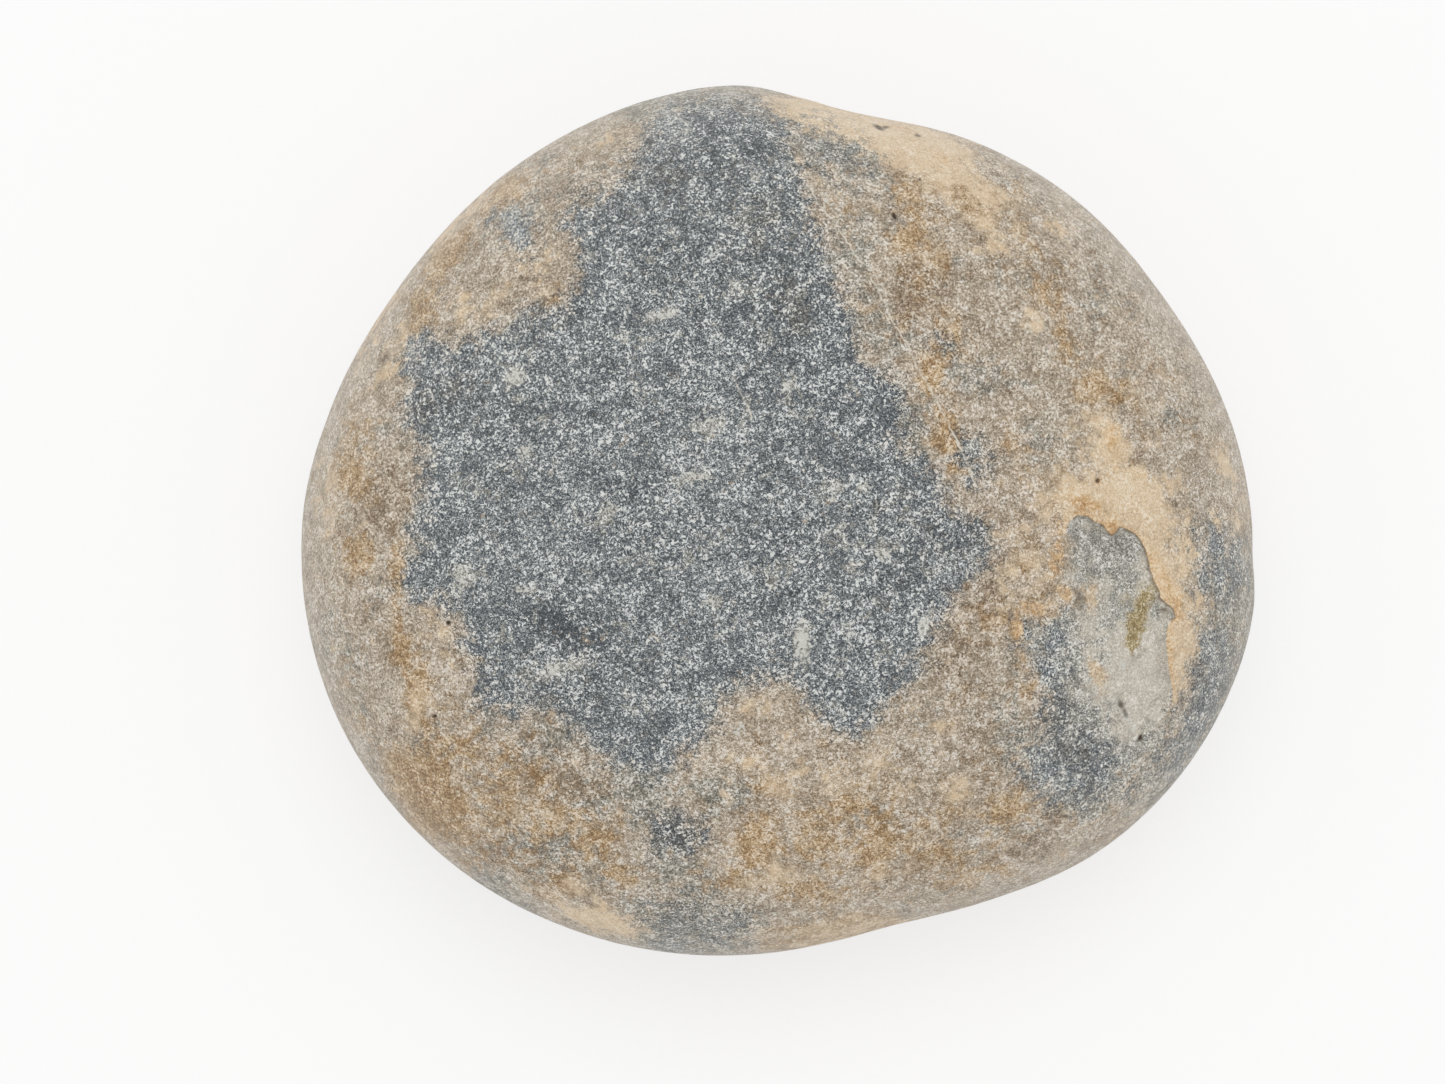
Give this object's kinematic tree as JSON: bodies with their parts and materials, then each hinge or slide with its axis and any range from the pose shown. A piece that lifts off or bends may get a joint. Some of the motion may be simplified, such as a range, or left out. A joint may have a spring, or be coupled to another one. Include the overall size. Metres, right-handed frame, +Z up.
{
  "type": "ammonite nodule",
  "caption": "Whole, closed, water-worn stone nodule: a rounded lens with a grey core showing through a tan rind, a dented rim and a shallow flaked scar; lies on its belly.",
  "frame": {"origin": "middle of the underside of the bounding box, in the plane of the rest flat", "axes": "+Z up through the crown, the short way through the stone; +X along the longest side"},
  "size_m": [0.1, 0.0908, 0.0463],
  "materials": {
    "nodule_stone": "dull, weathered, finely speckled; grey core and tan rind"
  },
  "bodies": {
    "root": {"nodule": "nodule_stone"}
  },
  "joints": []
}
